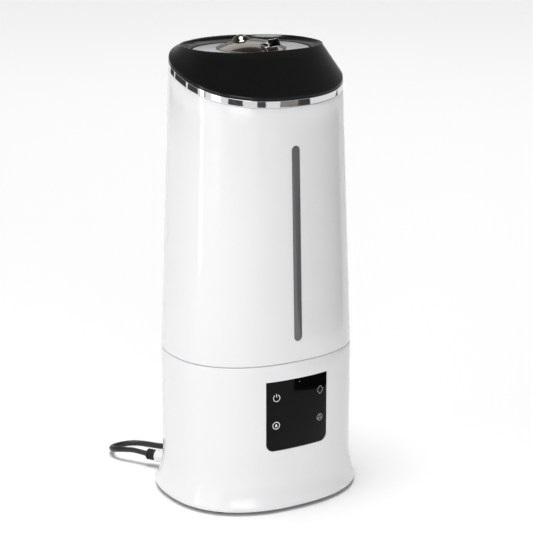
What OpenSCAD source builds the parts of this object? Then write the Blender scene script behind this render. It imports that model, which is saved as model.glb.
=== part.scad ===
// Tower-shaped ultrasonic cool mist humidifier: a base with the electronics and the water tray,
// and a tall tank that lifts off it. Origin on the floor under the middle of the body, front to -Y.

/* [Body] */
// Width of the body at the seam between base and tank
body_w = 178; // [165:1:215]
// Depth of the body at the seam
body_d = 146; // [136:1:176]
// Squareness of the plan: 2 is an ellipse
plan_power = 2.35; // [2:0.05:3]
// Height of the seam above the floor
seam_z = 140; // [136:1:170]
// Height of the collar's rim above the floor
rim_z = 418; // [380:1:500]
// Width of the tank's outline, carried up to the rim's height
top_w = 156; // [150:1:190]
// Depth of the tank's outline, carried up to the rim's height
top_d = 128; // [122:1:160]
// Forward slope of the chrome band
band_tilt = 16.5; // [5:0.5:18]
// Height of the middle of the chrome band's lower edge
band_z = 390.2; // [370:0.2:470]
// Height of the chrome band
band_h = 6.4; // [3:0.2:8]

/* [Walls] */
// Wall of the base
base_wall = 3; // [2.5:0.1:4]
// Wall of the tank
tank_wall = 2.4; // [2:0.1:3.2]
// Gap at the seam, and round parts that lift off
lift_gap = 0.6; // [0.4:0.1:1]
// Gap between parts that are fixed together
fit_gap = 0.2; // [0.1:0.05:0.4]

/* [Foot skirt] */
// Outward flare at each side
flare_side = 5.5; // [2:0.5:10]
// Outward flare at the front
flare_front = 7; // [2:0.5:10]
// Outward flare at the back
flare_back = 11.5; // [4:0.5:16]
// Height of the flare
flare_h = 36; // [25:1:45]
// Height of the rubber feet below the base
foot_h = 3; // [2:0.5:6]
// Radius of a rubber foot
foot_r = 7; // [5:0.5:9]

/* [Touch panel] */
// Width of the panel
panel_w = 65; // [50:1:80]
// Bottom of the panel above the floor
panel_low = 58; // [50:1:65]
// Top of the panel above the floor
panel_top = 124; // [110:1:128]
// Radius of the panel's two lower corners
panel_corner = 7; // [2:0.5:12]
// Thickness of the panel
panel_t = 1.5; // [1:0.1:1.8]

/* [Water window] */
// Width of the window
window_w = 8.6; // [5:0.2:14]
// Height of the window's lowest point above the seam
window_rise = 19; // [15:1:60]
// Highest point of the window
window_top = 337; // [260:1:345]

/* [Collar and nozzle] */
// Half width of the collar's rim
rim_a = 65; // [60:0.5:68]
// Half depth of the collar's rim
rim_b = 53.5; // [50:0.5:56]
// Middle of the rim, mist duct and nozzle, behind the middle of the body
mist_y = 8; // [0:0.5:9]
// Height of the tilted shoulder over the chrome band
shoulder_h = 2.6; // [2:0.2:6]
// Depth of the dish inside the rim
dish_depth = 4.5; // [3:0.5:8]
// Radius of the nozzle's dome
dome_r = 32; // [28:0.5:36]
// Height of the nozzle's dome
dome_h = 7.5; // [5:0.5:11]
// Bore radius of the mist duct
duct_bore_r = 15; // [12:0.5:17]
// Wall of the mist duct
duct_wall = 1.8; // [1.4:0.1:2.4]
// Running clearance of round parts that turn
turn_gap = 0.08; // [0.05:0.01:0.1]

/* [Water tray] */
// Depth of the water tray below the seam
tray_depth = 25; // [22:1:30]
// Distance from the mist duct to the filler cap's and to the float's axis
side_x = 48; // [46:0.5:50]
// Distance from the mist duct back to the air chimney
chimney_y = 34; // [30:0.5:36]
// Outer radius of the air chimney
chimney_r = 8; // [7:0.5:9]
// Radius of the transducer's well
well_r = 14; // [12:0.5:15]

/* [Filler cap] */
// Inner radius of the tank's filler neck
neck_r = 16.5; // [15:0.5:17]
// Wall of the filler neck
neck_wall = 2.4; // [2:0.1:3]
// Wall of the filler cap
cap_wall = 2.4; // [2:0.1:3]
// Travel of the valve
valve_travel = 4; // [3:0.5:5]
// Radius of the valve's stem
stem_r = 2.5; // [2:0.1:3]

/* [Fan] */
// Side of the fan's frame
fan_side = 50; // [40:1:52]
// Height of the fan's frame
fan_h = 15; // [12:1:20]
// Middle of the fan, to the left of the body's middle
fan_x = 36; // [34:1:38]

/* [Cord] */
// Diameter of the mains lead
cord_d = 5; // [4.5:0.1:5.5]
// Mean radius of the coil's turns
coil_r = 27.6; // [25:0.1:32]

/* [Hidden] */
$fn = 64;

plan_steps = 64;                 // points round a plan outline
over = 1;                        // how far a cut runs past the face it opens
sliver = 0.01;                   // smallest overlap that joins two pieces of one solid

// Base
cover_t = 3;                     // bottom cover
cover_top = foot_h + cover_t;
skirt_z = foot_h + 4;            // height of the skirt's widest point
skirt_round = 2.5;               // how far the skirt rolls under, to the foot's level
base_top = seam_z - lift_gap / 2;
tank_low = seam_z + lift_gap / 2;
post_r = 4.2;                    // screw posts under the tray
post_x = fan_x + fan_side / 2 + post_r + 1;   // just outside the fan
post_y = 30;
screw_r = 1.5;
screw_head_r = 3;
screw_head_h = 1.6;
screw_len = 12;
foot_x = 66;
foot_y = 45;
foot_sink = 1;                   // depth of a foot's recess in the cover
vent_w = 2.4;                    // air inlet slots under the fan
vent_pitch = 5;
vent_count = 7;

// Water tray
rim_drop = 4;                    // from the base's top edge down to the tray's flange
tray_t = 3;
flange_z = base_top - rim_drop;
tray_low = seam_z - tray_depth;       // top of the tray's floor
pocket_a = 74;                   // half width of the tray's pocket
pocket_b = 53;                   // half depth of the tray's pocket
pocket_y = 4;                    // the pocket sits behind the middle, clear of the boards
chimney_top = tray_low + 15;

// Transducer under the tray's floor
disc_r = 10;
disc_t = 1.2;
holder_r = well_r + 5;
holder_h = 9;
holder_top = tray_low - tray_t;
sink_side = 36;
sink_plate = 3;
fin_h = 12;
fin_t = 1.5;
fin_count = 7;

// Float
float_r = 11;
float_h = 8;
float_post_r = 3;
float_rest = 0.4;                // gap under the float at its lowest
float_travel = 6;
float_clip_r = 4.6;
float_clip_h = 1.2;
float_clip_z = tray_low + float_rest + float_h + float_travel + float_rest;

// Electronics
board_t = 1.6;
board_x = 42;                    // middle of the power board
board_w = 56;
board_d = 46;
standoff_h = 6;
standoff_r = 2.6;
board_z = cover_top + standoff_h;
control_w = 54;
control_gap = 1.6;               // from the housing's front wall to the control board, at its edges
display_w = 28;
display_low = 90;
display_top = 112;
display_sunk = 0.4;              // from the display's face to the back of the panel
pocket_gap = 0.2;                // round the touch panel
control_y = front_y(control_w / 2, base_wall) + control_gap;

// Fan and its duct
fan_y = mist_y;
fan_z = cover_top + 12;
fan_top = fan_z + fan_h;
fan_bore_r = fan_side / 2 - 1.5;
hub_r = 10;
hub_wall = 1.4;
motor_r = 7;
shaft_r = 1.5;
blade_count = 7;
blade_tilt = 35;
duct_t = 1.6;
duct_room = 14;                  // height of the duct's chamber over the fan
chamber_z = fan_top + fit_gap;

// Tank
bottom_z = seam_z + 6;           // underside of the tank's bottom wall
bottom_t = 3;
spigot_low = base_top - rim_drop + lift_gap + fit_gap;
spigot_t = 2.4;
spigot_in = base_wall + lift_gap;
hood_low = tray_low + 7;
hood_t = 1.8;
hood_r = well_r + 5;
hood_chimney_r = chimney_r + 2.4;
window_low = seam_z + window_rise;
wall_lean = atan((body_d - top_d) / 2 / (rim_z - seam_z));   // lean of the front wall
roof_t = 2.4;
roof_z = band_z - tan(band_tilt) * top_d / 2 - 8;
duct_r = duct_bore_r + duct_wall;
hole_gap = 0.3;                  // round the duct and the neck, filled by seals
seal_t = 2;

// Filler cap and valve, from the tray's side upwards
cap_floor_t = 2;
neck_low = bottom_z - 10;
gasket_t = 1;
cap_low = neck_low - gasket_t - cap_floor_t;
cap_floor = cap_low + cap_floor_t;
neck_out = neck_r + neck_wall;
cap_in = neck_out + 0.3;
cap_out = cap_in + cap_wall;
rib_count = 20;
cage_r = neck_r - 0.6;
cage_wall = 2;
cage_top = cap_floor + 17;
cage_bridge = 2;
water_hole_r = 2.2;
water_hole_at = 7.5;
valve_seal_r = 11.5;
valve_seal_t = 1.8;
valve_rest = 0.05;               // from the closed seal to the cap's floor
seal_z = cap_floor + valve_travel + valve_rest;   // underside of the seal while the base's pin holds the valve open
stem_low = cap_low - 4;
pin_gap = 0.3;
spring_r = 6;
spring_wire = 0.6;
spring_turns = 5;
spring_low = seal_z + valve_seal_t + spring_wire + fit_gap;
spring_high = cage_top - cage_bridge - spring_wire - fit_gap;

// Collar, dish and nozzle
band_proud = 0.3;                // the band stands out this far from the tank's wall
band_in = 2;
wall_in = 2.6;                   // inner face of the collar, in from the outline
shoulder_z = band_z + band_h + shoulder_h;
rim_edge = 1.6;                  // width of the rim's rounded edge
dish_slope = 5;                  // how far the dish's wall runs in, from the rim to the ledge
ledge_w = 3.6;
dish_z = rim_z - dish_depth;
plate_t = 1.6;
groove_w = 1.2;
plate_a = rim_a - rim_edge - dish_slope - ledge_w - groove_w;
plate_b = rim_b - rim_edge - dish_slope - ledge_w - groove_w;
collar_t = 2.2;
collar_floor = dish_z - plate_t - fit_gap - collar_t;
seat_r = duct_r + 3;
seat_h = 9;
seat_low = collar_floor - fit_gap - seat_h;
nozzle_lift = 0.4;               // from the dish plate to the underside of the dome
stub_r = duct_bore_r - 0.6;
stub_wall = 1.6;
stub_h = 12;
dome_base = dish_z + nozzle_lift;
dome_ball = (dome_r * dome_r + dome_h * dome_h) / (2 * dome_h);
dome_wall = 1.6;
spout_angle = -75;               // where the spout points, from +X
spout_at = 21;                   // from the nozzle's axis to the middle of the spout
spout_w = 14;
spout_h = 6.5;
spout_len = 16;
spout_wall = 1.2;
spout_tilt = 24;                 // upward tilt of the spout's mouth
knob_angle = 147;                // where the grip stands, from +X
knob_r = 9;
knob_at = 9;
knob_top = rim_z + 8;

// Cord: the gland sits low at the back left, and the lead runs behind the body to its coil
gland_angle = 122;               // outward direction of the gland, from +X
gland_point = [-50, 56];
gland_z = 12;
gland_r = 5.8;
gland_in = 8;                    // inner end of the gland, from gland_point
gland_out = 29;                  // outer end of the gland
relief_r = 4.4;
relief_end_r = cord_d / 2 + 0.9;
relief_len = 22;
relief_sunk = 11;                // length of the relief inside the gland
relief_start = gland_out - relief_sunk;
relief_out = relief_start + relief_len;
rib_h = 1.4;
cord_r = cord_d / 2;
coil_at = [36, 142];
coil_w = 12.8;
coil_h = 20;
tie_w = 9;
tie_t = 1.4;
// The lead's free stretch, after the strain relief: a low arch, a turn back behind the body, and along
// the floor into the coil's lowest turn
cord_route = [[-75, 96, 12.6], [-79, 103, 12.8], [-83, 109.5, 12], [-87, 117, 10.5], [-88.5, 124.5, 8.5],
              [-87, 133, 6.5], [-82, 140.5, 4.6], [-74.5, 145.5, 3.2], [-65.5, 147, 2.6], [-56.5, 144.5, 2.5],
              [-49.5, 138.5, 2.5], [-44, 131, 2.5], [-38.5, 123.5, 2.5], [-32, 117, 2.5], [-23.5, 112.5, 2.5],
              [-14, 110.5, 2.5], [0, 110.5, 2.5], [12, 110.5, 2.5], [24, 110.5, 2.5]];
// From the coil's top layer down to the plug
tail_route = [[44, 110.5, 17.4], [56, 110.5, 16], [68, 110.5, 12.3], [80, 110.5, 8.6], [90, 110.5, 7]];
cord_steps = 2;                  // rings for each stretch between two points
cord_sides = 8;
plug_nose = 14;
plug_len = 32;
plug_w = 35;
plug_t = 13.6;
plug_at = [90, 110.5, plug_t / 2];   // rear end of the plug, which points to +X
pin_r = 2;
pin_len = 19;
pin_pitch = 18.6;

// ---- Outlines ------------------------------------------------------------------------------

function half_w(z) = z <= seam_z ? body_w / 2 : body_w / 2 - (body_w - top_w) / 2 * (z - seam_z) / (rim_z - seam_z);
function half_d(z) = z <= seam_z ? body_d / 2 : body_d / 2 - (body_d - top_d) / 2 * (z - seam_z) / (rim_z - seam_z);
function bend(v) = sign(v) * pow(abs(v), 2 / plan_power);
function oval(a, b, y = 0) = [for (i = [0 : plan_steps - 1]) let (t = 360 * i / plan_steps)
    [a * bend(cos(t)), b * bend(sin(t)) + y]];
// Front face of the body at x, a distance in from the outline
function front_y(x, inset) = -(body_d / 2 - inset) * pow(1 - pow(abs(x) / (body_w / 2 - inset), plan_power),
                                                         1 / plan_power);
// A point of the tank's wall at plan angle t
function wall_point(t, z, inset) = [(half_w(z) - inset) * bend(cos(t)), (half_d(z) - inset) * bend(sin(t)), z];
function tilted_z(t, z) = z + tan(band_tilt) * half_d(z) * bend(sin(t));
function level_ring(z, inset) = [for (i = [0 : plan_steps - 1]) wall_point(360 * i / plan_steps, z, inset)];
function tilted_ring(z, inset) = [for (i = [0 : plan_steps - 1]) let (t = 360 * i / plan_steps)
    wall_point(t, tilted_z(t, z), inset)];
function oval_ring(a, b, y, z) = [for (p = oval(a, b, y)) [p[0], p[1], z]];
// The skirt's flare at height z: 1 at its widest, 0 where it meets the wall
function flare(z) = z >= skirt_z + flare_h ? 0 : pow(1 - max(0, z - skirt_z) / flare_h, 2.4);
function skirt_ring(z, inset) = let (f = flare(z))
    oval_ring(half_w(z) + flare_side * f - inset, half_d(z) + (flare_front + flare_back) / 2 * f - inset,
              (flare_back - flare_front) / 2 * f, z);

// ---- Solids from rings ---------------------------------------------------------------------

function band_faces(low, high, n) = [for (i = [0 : n - 1]) let (k = (i + 1) % n)
    each [[low + i, high + i, high + k], [low + i, high + k, low + k]]];
// A closed chain of rings: up the outside of a wall and down its inside
module ring_loop(rings) {
    n = len(rings[0]);
    m = len(rings);
    polyhedron([for (r = rings) each r], [for (j = [0 : m - 1]) each band_faces(j * n, ((j + 1) % m) * n, n)]);
}
// A stack of rings, closed by a flat face at each end
module ring_stack(rings) {
    n = len(rings[0]);
    m = len(rings);
    polyhedron([for (r = rings) each r],
               concat([for (j = [0 : m - 2]) each band_faces(j * n, (j + 1) * n, n)],
                      [[for (i = [0 : n - 1]) i]], [[for (i = [n - 1 : -1 : 0]) (m - 1) * n + i]]));
}
function unit(v) = v / norm(v);
// A round tube swept along points, its rings turned to the path's direction
module sweep_tube(points, r, sides) {
    n = len(points);
    along = [for (i = [0 : n - 1]) unit(points[min(i + 1, n - 1)] - points[max(i - 1, 0)])];
    ring_stack([for (i = [0 : n - 1]) let (
        across = unit(cross(along[i], [0.03, 0.02, 1])), up = cross(across, along[i]))
        [for (k = [0 : sides - 1]) points[i] + r * (cos(360 * k / sides) * across - sin(360 * k / sides) * up)]]);
}
module tube(r_out, r_in, h) {
    difference() {
        cylinder(r = r_out, h = h);
        translate([0, 0, -over]) cylinder(r = r_in, h = h + 2 * over);
    }
}
module plan_plate(a, b, y, z, h) {
    translate([0, 0, z]) linear_extrude(h) polygon(oval(a, b, y));
}
// A round-ended slot outline, upright in the XZ plane, cut or filled along Y
module upright_slot(w, low, top) {
    for (z = [low + w / 2, top - w / 2]) translate([0, z]) circle(r = w / 2);
    translate([-w / 2, low + w / 2]) square([w, top - low - w]);
}
module at_gland(distance) {
    translate([gland_point[0], gland_point[1], gland_z]) rotate([0, 0, gland_angle]) rotate([0, 90, 0])
        translate([0, 0, distance]) children();
}
module at_corners(x, y) {
    for (sx = [-1, 1], sy = [-1, 1]) translate([sx * x, sy * y, 0]) children();
}

// ---- Base ----------------------------------------------------------------------------------

// The panel's outline seen from the front: sharp upper corners, round lower ones
module panel_outline(gap) {
    w = panel_w / 2 + gap;
    c = panel_corner + gap;
    for (s = [-1, 1]) translate([s * (w - c), panel_low - gap + c]) circle(r = c);
    translate([-w, panel_low - gap + c]) square([2 * w, panel_top + gap - (panel_low - gap + c)]);
    translate([-(w - c), panel_low - gap]) square([2 * (w - c), c]);
}
// A slab that follows the front wall, from one inset to another
module front_slab(inset_out, inset_in, gap) {
    xs = [for (i = [-10 : 10]) i / 10 * (panel_w / 2 + gap + over)];
    intersection() {
        translate([0, 0, panel_low - over]) linear_extrude(panel_top - panel_low + 2 * over)
            polygon(concat([for (x = xs) [x, front_y(x, inset_out)]],
                           [for (i = [len(xs) - 1 : -1 : 0]) [xs[i], front_y(xs[i], inset_in)]]));
        translate([0, -body_d / 4, 0]) rotate([90, 0, 0]) linear_extrude(body_d) panel_outline(gap);
    }
}
module base_housing() color("white") difference() {
    heights = [foot_h, foot_h + 1.2, skirt_z, skirt_z + 3, skirt_z + 7, skirt_z + 12, skirt_z + 18, skirt_z + 26,
               skirt_z + flare_h, base_top];
    rolls = [skirt_round, skirt_round * 0.3, 0, 0, 0, 0, 0, 0, 0, 0];
    last = len(heights) - 1;
    ring_loop(concat([for (i = [0 : last]) skirt_ring(heights[i], rolls[i])],
                     [for (i = [last : -1 : 2]) skirt_ring(heights[i], base_wall)],
                     [for (p = [skirt_ring(skirt_z, base_wall)]) [for (q = p) [q[0], q[1], foot_h]]]));
    front_slab(-over, panel_t, pocket_gap);
    translate([-display_w / 2 - pocket_gap, -body_d / 2 - over, display_low - pocket_gap])
        cube([display_w + 2 * pocket_gap, base_wall * 3, display_top - display_low + 2 * pocket_gap]);
    at_gland(-over) cylinder(r = gland_r + pocket_gap, h = gland_out);
}
function cover_half_w() = half_w(0) + flare_side * flare(cover_top) - base_wall - fit_gap;
function cover_half_d() = half_d(0) + (flare_front + flare_back) / 2 * flare(cover_top) - base_wall - fit_gap;
module bottom_cover() color("dimgray") {
    difference() {
        plan_plate(cover_half_w(), cover_half_d(), (flare_back - flare_front) / 2, foot_h, cover_t);
        at_corners(foot_x, foot_y) translate([0, 0, foot_h - over])
            cylinder(r = foot_r + fit_gap, h = foot_sink + over);
        at_corners(post_x, post_y) translate([0, 0, foot_h - over]) {
            cylinder(r = screw_r + fit_gap, h = cover_t + 2 * over);
            cylinder(r = screw_head_r + fit_gap, h = screw_head_h + over);
        }
        for (i = [0 : vent_count - 1])
            translate([-fan_x - vent_w / 2 + (i - (vent_count - 1) / 2) * vent_pitch, fan_y - fan_side / 3,
                       foot_h - over])
                cube([vent_w, fan_side * 2 / 3, cover_t + 2 * over]);
    }
    for (sx = [-1, 1], sy = [-1, 1])
        translate([board_x + sx * (board_w / 2 - standoff_r), sy * (board_d / 2 - standoff_r), cover_top - sliver])
            cylinder(r = standoff_r, h = standoff_h + sliver - fit_gap);
    // Legs that hold the fan clear of the inlet
    for (sx = [-1, 1], sy = [-1, 1])
        translate([-fan_x + sx * (fan_side / 2 - standoff_r), fan_y + sy * (fan_side / 2 - standoff_r),
                   cover_top - sliver])
            cylinder(r = standoff_r, h = fan_z - cover_top - fit_gap + sliver);
}
module cover_screws() color("silver") at_corners(post_x, post_y) translate([0, 0, foot_h]) difference() {
    union() {
        cylinder(r = screw_head_r, h = screw_head_h);
        cylinder(r = screw_r - turn_gap, h = screw_len);
    }
    for (a = [0, 90]) rotate([0, 0, a]) cube([0.8, 4, 1.6], center = true);
}
module rubber_feet() color("black") at_corners(foot_x, foot_y) cylinder(r = foot_r, h = foot_h + foot_sink);

// The tray: a floor with its wells, a wall with the flange that closes the base, and four screw posts
module tray_floor() color("whitesmoke") difference() {
    plan_plate(pocket_a + tray_t, pocket_b + tray_t, pocket_y, tray_low - tray_t, tray_t);
    translate([0, mist_y, tray_low - tray_t - over]) cylinder(r = well_r, h = tray_t + 2 * over);
    translate([0, mist_y + chimney_y, tray_low - tray_t - over])
        cylinder(r = chimney_r + fit_gap, h = tray_t + 2 * over);
    // Feet of the float's post and of the valve pin
    for (x = [-side_x, side_x]) translate([x, mist_y, tray_low - 1]) cylinder(r = float_post_r, h = over + 1);
}
module tray_wall() color("whitesmoke") difference() {
    union() {
        plan_plate(body_w / 2 - base_wall - fit_gap, body_d / 2 - base_wall - fit_gap, 0, flange_z - tray_t, tray_t);
        plan_plate(pocket_a + tray_t, pocket_b + tray_t, pocket_y, tray_low, flange_z - tray_low);
    }
    plan_plate(pocket_a, pocket_b, pocket_y, tray_low - over, flange_z);
}
module tray_posts() color("whitesmoke") at_corners(post_x, post_y)
    translate([0, 0, cover_top + fit_gap]) difference() {
        cylinder(r = post_r, h = tray_low - tray_t - cover_top - fit_gap);
        translate([0, 0, -over]) cylinder(r = screw_r, h = screw_len + over);
    }
module transducer_body() color("gray") translate([0, mist_y, holder_top - holder_h]) difference() {
    cylinder(r = holder_r, h = holder_h - fit_gap);
    translate([0, 0, holder_h - 6]) cylinder(r = well_r - 2, h = 6);
    translate([0, 0, -over]) cylinder(r = 6, h = holder_h);
}
module transducer_seal() color("black") translate([0, mist_y, holder_top - 6 + fit_gap])
    tube(well_r - 2 - fit_gap, disc_r + fit_gap, 3);
module transducer_disc() color("gold") translate([0, mist_y, holder_top - 6 + fit_gap]) cylinder(r = disc_r, h = disc_t);
module heat_sink() color("silver") translate([0, mist_y, holder_top - holder_h - fit_gap]) {
    translate([-sink_side / 2, -sink_side / 2, -sink_plate]) cube([sink_side, sink_side, sink_plate]);
    for (i = [0 : fin_count - 1])
        translate([-sink_side / 2 + i * (sink_side - fin_t) / (fin_count - 1), -sink_side / 2,
                   -sink_plate - fin_h])
            cube([fin_t, sink_side, fin_h + sliver]);
}
module float_post() color("whitesmoke") translate([-side_x, mist_y, 0]) {
    translate([0, 0, tray_low - 1 + fit_gap]) cylinder(r = float_post_r - turn_gap,
        h = float_clip_z - tray_low + 1 - fit_gap + sliver);
    translate([0, 0, float_clip_z]) cylinder(r = float_clip_r, h = float_clip_h);
}
module tray_float() color("orange") translate([-side_x, mist_y, tray_low + float_rest])
    tube(float_r, float_post_r + 0.5, float_h);
module valve_pin() color("whitesmoke") translate([side_x, mist_y, tray_low - 1 + fit_gap])
    cylinder(r = float_post_r - turn_gap, h = stem_low - pin_gap - tray_low + 1 - fit_gap);

module fan_housing() color("black") translate([-fan_x, fan_y, fan_z]) {
    difference() {
        translate([-fan_side / 2, -fan_side / 2, 0]) cube([fan_side, fan_side, fan_h]);
        translate([0, 0, -over]) cylinder(r = fan_bore_r, h = fan_h + 2 * over);
    }
    difference() {
        union() {
            cylinder(r = hub_r, h = 2);
            for (a = [45 : 90 : 315]) rotate([0, 0, a]) translate([0, -1.2, 0]) cube([fan_bore_r + sliver, 2.4, 2]);
        }
        translate([0, 0, -over]) cylinder(r = shaft_r + fit_gap, h = 2 + 2 * over);
    }
}
module fan_motor() color("dimgray") translate([-fan_x, fan_y, fan_z]) {
    translate([0, 0, 2 + fit_gap]) cylinder(r = motor_r, h = 6);
    cylinder(r = shaft_r, h = fan_h - 1.5);
}
module fan_impeller() color("dimgray") translate([-fan_x, fan_y, fan_z + 3.2]) {
    difference() {
        cylinder(r = hub_r, h = fan_h - 4.6);
        translate([0, 0, -over]) cylinder(r = hub_r - hub_wall, h = 6.8 + over);
        translate([0, 0, -over]) cylinder(r = shaft_r + turn_gap, h = fan_h);
    }
    for (i = [0 : blade_count - 1]) rotate([0, 0, 360 * i / blade_count])
        translate([hub_r - 1, 0, (fan_h - 4.6) / 2]) rotate([blade_tilt, 0, 0])
            translate([0, -6, -0.6]) cube([fan_bore_r - 1.2 - hub_r + 1, 12, 1.2]);
}
// A chamber over the fan, a channel to the back and the chimney that rises through the tray
module air_duct() color("lightgray") difference() {
    chamber_w = fan_side;
    channel_x = -fan_x + fan_side / 2 - 8;
    channel_w = chimney_r - channel_x;
    back_y = mist_y + chimney_y + chimney_r;
    channel_y = min(mist_y + chimney_y - chimney_r, fan_y + chamber_w / 2 + 1) - 2;
    union() {
        translate([-fan_x - chamber_w / 2, fan_y - chamber_w / 2, chamber_z])
            cube([chamber_w, chamber_w, duct_room]);
        translate([channel_x - 10, channel_y, chamber_z]) cube([channel_w + 10, back_y - channel_y, duct_room]);
        translate([0, mist_y + chimney_y, chamber_z + duct_t]) cylinder(r = chimney_r, h = chimney_top - chamber_z
                                                                                   - duct_t);
    }
    translate([-fan_x - chamber_w / 2 + duct_t, fan_y - chamber_w / 2 + duct_t, chamber_z - over])
        cube([chamber_w - 2 * duct_t, chamber_w - 2 * duct_t, duct_room - duct_t + over]);
    translate([channel_x - 10 + duct_t, channel_y + duct_t, chamber_z + duct_t])
        cube([channel_w + 10 - 2 * duct_t, back_y - channel_y - 2 * duct_t, duct_room - 2 * duct_t]);
    translate([0, mist_y + chimney_y, chamber_z + 2 * duct_t])
        cylinder(r = chimney_r - duct_t, h = chimney_top - chamber_z);
}
module power_board() color("seagreen") translate([board_x, 0, board_z]) {
    translate([-board_w / 2, -board_d / 2, 0]) cube([board_w, board_d, board_t]);
    translate([-24, -18, board_t - sliver]) cube([20, 18, 17]);
    translate([4, -16, board_t - sliver]) cube([3, 30, 22]);
    for (y = [-12, 2]) translate([18, y, board_t - sliver]) cylinder(r = 5, h = 18);
    translate([-20, 12, board_t - sliver]) cylinder(r = 4, h = 12);
}
module control_board() color("seagreen")
    translate([-control_w / 2, control_y, panel_low + 2]) cube([control_w, board_t, panel_top - panel_low - 4]);
module display_module() color("black") {
    face_y = front_y(display_w / 2, panel_t) + display_sunk;
    translate([-display_w / 2, face_y, display_low])
        cube([display_w, control_y - fit_gap - face_y, display_top - display_low]);
}
module touch_panel() color([0.05, 0.05, 0.06]) front_slab(0, panel_t - fit_gap, 0);

// ---- Cord ----------------------------------------------------------------------------------

module cord_gland() color("white") at_gland(gland_in) difference() {
    cylinder(r = gland_r, h = gland_out - gland_in);
    translate([0, 0, relief_start - gland_in]) cylinder(r = relief_r + fit_gap, h = relief_len);
    translate([0, 0, -over]) cylinder(r = cord_r + fit_gap, h = gland_out);
}
module strain_relief() color("black") at_gland(relief_start) difference() {
    union() {
        cylinder(r1 = relief_r, r2 = relief_end_r, h = relief_len);
        for (i = [0 : 2]) translate([0, 0, relief_sunk + 1 + 2.8 * i]) cylinder(r = relief_r + 0.8, h = rib_h);
    }
    translate([0, 0, -over]) cylinder(r = cord_r + turn_gap, h = relief_len + over - 2);
}
// A smooth curve through the route's points
function curve_point(p, q, r, s, t) = ((2 * q) + (r - p) * t + (2 * p - 5 * q + 4 * r - s) * t * t
                                       + (3 * q - p - 3 * r + s) * t * t * t) / 2;
function curve(pts, steps) = let (n = len(pts)) concat([for (i = [0 : n - 2], k = [0 : steps - 1])
    curve_point(pts[max(i - 1, 0)], pts[i], pts[i + 1], pts[min(i + 2, n - 1)], k / steps)], [pts[n - 1]]);
function on_floor(pts) = [for (p = pts) [p[0], p[1], max(p[2], cord_r)]];
module lead(route) {
    sweep_tube(on_floor(curve(route, cord_steps)), cord_r, cord_sides);
}
module power_cord() color("black") lead(concat(
    [[gland_point[0] + relief_out * cos(gland_angle), gland_point[1] + relief_out * sin(gland_angle), gland_z]],
    cord_route));
module cord_tail() color("black") lead(tail_route);
module cord_coil() color("black") translate([coil_at[0], coil_at[1], 0])
    rotate_extrude() translate([coil_r - coil_w / 2, 0]) square([coil_w, coil_h]);
module cord_tie() color("black") translate([coil_at[0], coil_at[1], 0]) difference() {
    intersection() {
        tube(coil_r + coil_w / 2 + tie_t, coil_r - coil_w / 2 - tie_t, coil_h + tie_t);
        translate([-tie_w / 2, coil_r - coil_w, 0]) cube([tie_w, 2 * coil_w, coil_h + tie_t]);
    }
    translate([0, 0, -over]) tube(coil_r + coil_w / 2, coil_r - coil_w / 2, coil_h + over);
}
module at_plug(distance) {
    translate(plug_at) rotate([0, 90, 0]) translate([0, 0, distance]) children();
}
module plug_body() color("black") {
    shoulder = plug_len * 0.6;       // where the body reaches its full width
    back_w = plug_t / 2;
    at_plug(0) cylinder(r1 = cord_r + 0.9, r2 = back_w - 1.2, h = plug_nose);
    at_plug(plug_nose - sliver) rotate([0, 90, 0]) translate([0, 0, -plug_t / 2]) linear_extrude(plug_t)
        polygon([[0, -back_w], [0, back_w], [-shoulder, plug_w / 2], [-plug_len, plug_w / 2],
                 [-plug_len, -plug_w / 2], [-shoulder, -plug_w / 2]]);
}
module plug_pins() color("silver") for (s = [-1, 1])
    at_plug(plug_nose + plug_len - sliver) translate([0, s * pin_pitch / 2, 0]) cylinder(r = pin_r, h = pin_len);

// ---- Tank ----------------------------------------------------------------------------------

module tank_shell() color("white") difference() {
    ring_loop([level_ring(tank_low, 0), tilted_ring(band_z, 0), tilted_ring(band_z, tank_wall),
               level_ring(tank_low, tank_wall)]);
    translate([0, -half_d(window_low) - over, window_low]) rotate([-wall_lean, 0, 0])
        translate([0, tank_wall + 2 * over, -window_low]) rotate([90, 0, 0]) linear_extrude(tank_wall + 2 * over)
            upright_slot(window_w, window_low, window_top);
}
module water_window() color([0.35, 0.35, 0.37, 0.8])
    translate([0, -half_d(window_low) + fit_gap, window_low]) rotate([-wall_lean, 0, 0])
        translate([0, tank_wall - fit_gap, -window_low]) rotate([90, 0, 0]) linear_extrude(tank_wall - fit_gap)
            upright_slot(window_w - 2 * fit_gap, window_low + fit_gap, window_top - fit_gap);
module tank_bottom() color("whitesmoke") difference() {
    plan_plate(half_w(bottom_z + bottom_t) - tank_wall - fit_gap, half_d(bottom_z + bottom_t) - tank_wall
               - fit_gap, 0, bottom_z, bottom_t);
    translate([side_x, mist_y, bottom_z - over]) cylinder(r = neck_r, h = bottom_t + 2 * over);
    translate([0, mist_y, bottom_z - over]) cylinder(r = duct_r + hole_gap, h = bottom_t + 2 * over);
}
// The ring under the tank that drops inside the base's wall
module tank_spigot() color("whitesmoke") difference() {
    plan_plate(body_w / 2 - spigot_in, body_d / 2 - spigot_in, 0, spigot_low, bottom_z - spigot_low);
    plan_plate(body_w / 2 - spigot_in - spigot_t, body_d / 2 - spigot_in - spigot_t, 0, spigot_low - over,
               bottom_z - spigot_low + 2 * over);
}
module filler_neck() color("whitesmoke") translate([side_x, mist_y, neck_low])
    tube(neck_out, neck_r, bottom_z - neck_low);
module hood_outline(grow) {
    circle(r = hood_r + grow);
    translate([0, chimney_y]) circle(r = hood_chimney_r + grow);
    translate([-hood_chimney_r - grow, 0]) square([2 * (hood_chimney_r + grow), chimney_y]);
}
module mist_hood() color("whitesmoke") translate([0, mist_y, hood_low]) difference() {
    linear_extrude(bottom_z - hood_low - fit_gap) hood_outline(0);
    translate([0, 0, -over]) linear_extrude(bottom_z - hood_low + 2 * over) hood_outline(-hood_t);
}
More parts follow.
